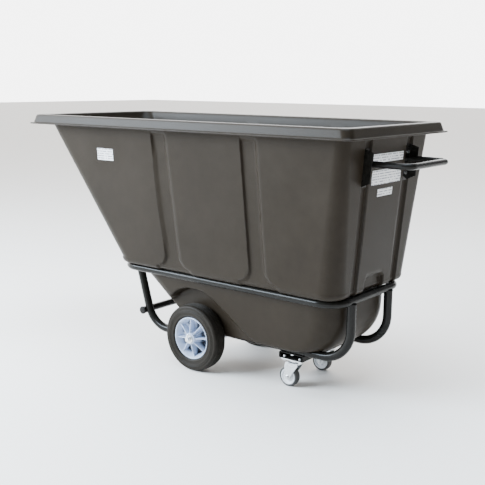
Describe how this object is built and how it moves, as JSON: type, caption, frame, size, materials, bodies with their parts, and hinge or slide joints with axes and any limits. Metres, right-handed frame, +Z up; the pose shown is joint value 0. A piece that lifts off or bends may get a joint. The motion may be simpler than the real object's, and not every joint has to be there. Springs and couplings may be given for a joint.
{
  "type": "tilt truck cart",
  "caption": "Wheeled dump cart with a deep moulded hopper on a tube frame, large main wheels under the dump end side, swivel casters and a push handle.",
  "frame": {"origin": "on the floor under the middle of the bounding box", "axes": "+X towards the handle end, +Y to the right seen from the handle, +Z up"},
  "size_m": [1.934, 0.816, 1.128],
  "materials": {
    "hopper": "moulded polyethylene, soft sheen",
    "frame_paint": "black powder coat, semi-gloss",
    "cap_plastic": "satin",
    "zinc_steel": "bright zinc plating",
    "bush_steel": "plain",
    "hub_plastic": "moulded, satin",
    "tyre_rubber": "matte",
    "core_plastic": "moulded",
    "tread_rubber": "satin",
    "label_plastic": "blank printed film"
  },
  "bodies": {
    "chassis": {"hopper": "hopper", "frame_hoop": "frame_paint", "rail_left": "frame_paint", "rail_right": "frame_paint", "leg_left": "frame_paint", "leg_right": "frame_paint", "dump_rest_tube": "frame_paint", "dump_rest_caps": "cap_plastic", "caster_beam": "frame_paint", "axle_bracket_left": "frame_paint", "axle_bracket_right": "frame_paint", "axle": "zinc_steel", "axle_spacers": "zinc_steel", "axle_washers": "zinc_steel", "axle_pins": "zinc_steel", "caster_plate_left": "zinc_steel", "caster_plate_right": "zinc_steel", "kingpin_left": "zinc_steel", "kingpin_right": "zinc_steel", "caster_balls_left": "bush_steel", "caster_balls_right": "bush_steel", "caster_bolts": "zinc_steel", "handle_tube": "frame_paint", "handle_bracket_left": "frame_paint", "handle_bracket_right": "frame_paint", "handle_bolts": "zinc_steel", "frame_bolts": "zinc_steel", "label_upper": "label_plastic", "label_middle": "label_plastic", "label_lower": "label_plastic", "side_label": "label_plastic"},
    "wheel_left": {"hub_left": "hub_plastic", "bush_left": "bush_steel", "tyre_left": "tyre_rubber"},
    "wheel_right": {"hub_right": "hub_plastic", "bush_right": "bush_steel", "tyre_right": "tyre_rubber"},
    "caster_left": {"caster_fork_left": "zinc_steel", "caster_axle_left": "zinc_steel"},
    "caster_wheel_left": {"caster_core_left": "core_plastic", "caster_tread_left": "tread_rubber"},
    "caster_right": {"caster_fork_right": "zinc_steel", "caster_axle_right": "zinc_steel"},
    "caster_wheel_right": {"caster_core_right": "core_plastic", "caster_tread_right": "tread_rubber"}
  },
  "joints": [
    {"name": "wheel_left_spin", "type": "hinge", "parent": "chassis", "child": "wheel_left", "pos_m": [-0.041, -0.232, 0.1524], "axis": [0, 1, 0], "continuous": true},
    {"name": "caster_left_swivel", "type": "hinge", "parent": "chassis", "child": "caster_left", "pos_m": [0.439, -0.128, 0.13], "axis": [0, 0, 1], "continuous": true},
    {"name": "caster_left_spin", "type": "hinge", "parent": "caster_left", "child": "caster_wheel_left", "pos_m": [0.411, -0.128, 0.0445], "axis": [0, 1, 0], "continuous": true},
    {"name": "wheel_right_spin", "type": "hinge", "parent": "chassis", "child": "wheel_right", "pos_m": [-0.041, 0.232, 0.1524], "axis": [0, 1, 0], "continuous": true},
    {"name": "caster_right_swivel", "type": "hinge", "parent": "chassis", "child": "caster_right", "pos_m": [0.439, 0.128, 0.13], "axis": [0, 0, 1], "continuous": true},
    {"name": "caster_right_spin", "type": "hinge", "parent": "caster_right", "child": "caster_wheel_right", "pos_m": [0.411, 0.128, 0.0445], "axis": [0, 1, 0], "continuous": true}
  ]
}
